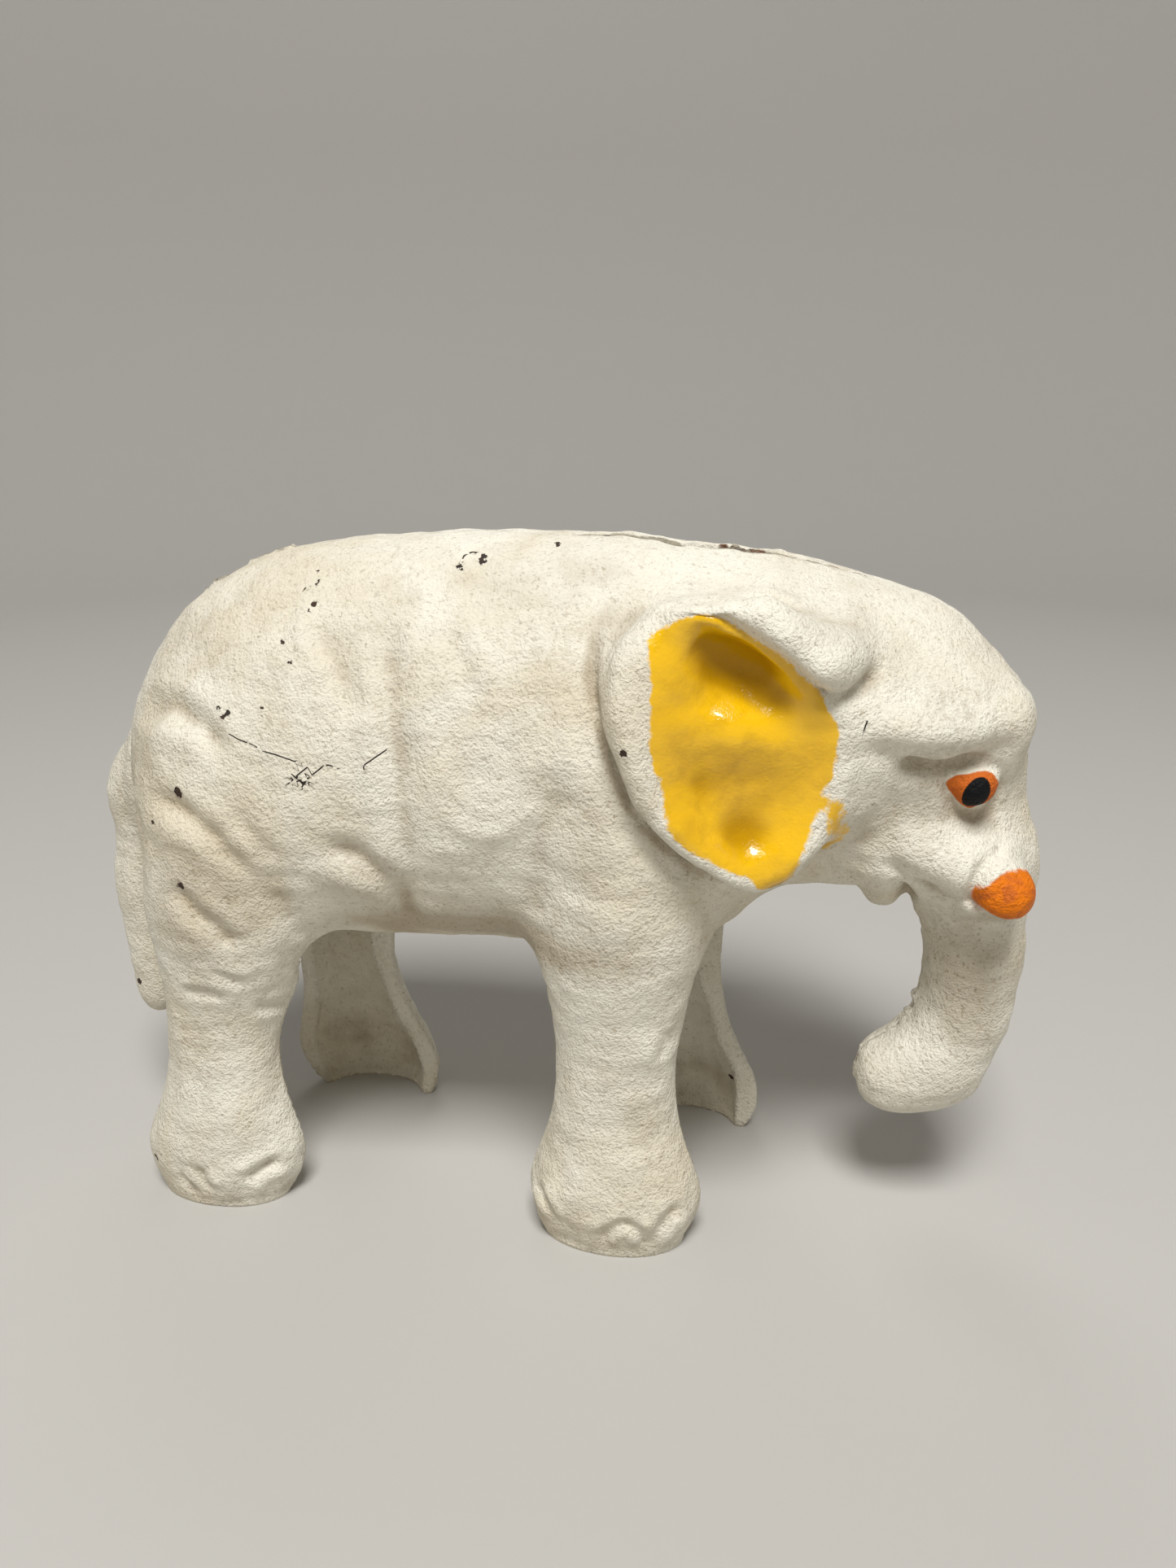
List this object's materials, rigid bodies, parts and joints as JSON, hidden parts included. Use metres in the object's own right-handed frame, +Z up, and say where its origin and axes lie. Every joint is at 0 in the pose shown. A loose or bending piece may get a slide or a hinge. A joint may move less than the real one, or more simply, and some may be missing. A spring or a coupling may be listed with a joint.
{
  "type": "elephant still bank",
  "caption": "Hollow painted cast-iron elephant coin bank, split lengthways into half shells with open-backed legs, a coin slot along the back and a joining screw.",
  "frame": {"origin": "on the floor, under the middle of the bounding box", "axes": "+X towards the head, +Y towards the elephant's left side, +Z up"},
  "size_m": [0.1526, 0.06, 0.11],
  "materials": {
    "painted_iron": "satin",
    "steel": "satin"
  },
  "bodies": {
    "right_half": {"right_half": "painted_iron"},
    "left_half": {"left_half": "painted_iron"},
    "screw": {"joining_screw": "steel"}
  },
  "joints": [
    {"name": "halves_part", "type": "slide", "parent": "right_half", "child": "left_half", "axis": [0, 1, 0], "range_m": [0, 0.06]},
    {"name": "screw_out", "type": "slide", "parent": "left_half", "child": "screw", "axis": [0, 1, 0], "range_m": [0, 0.05]}
  ]
}
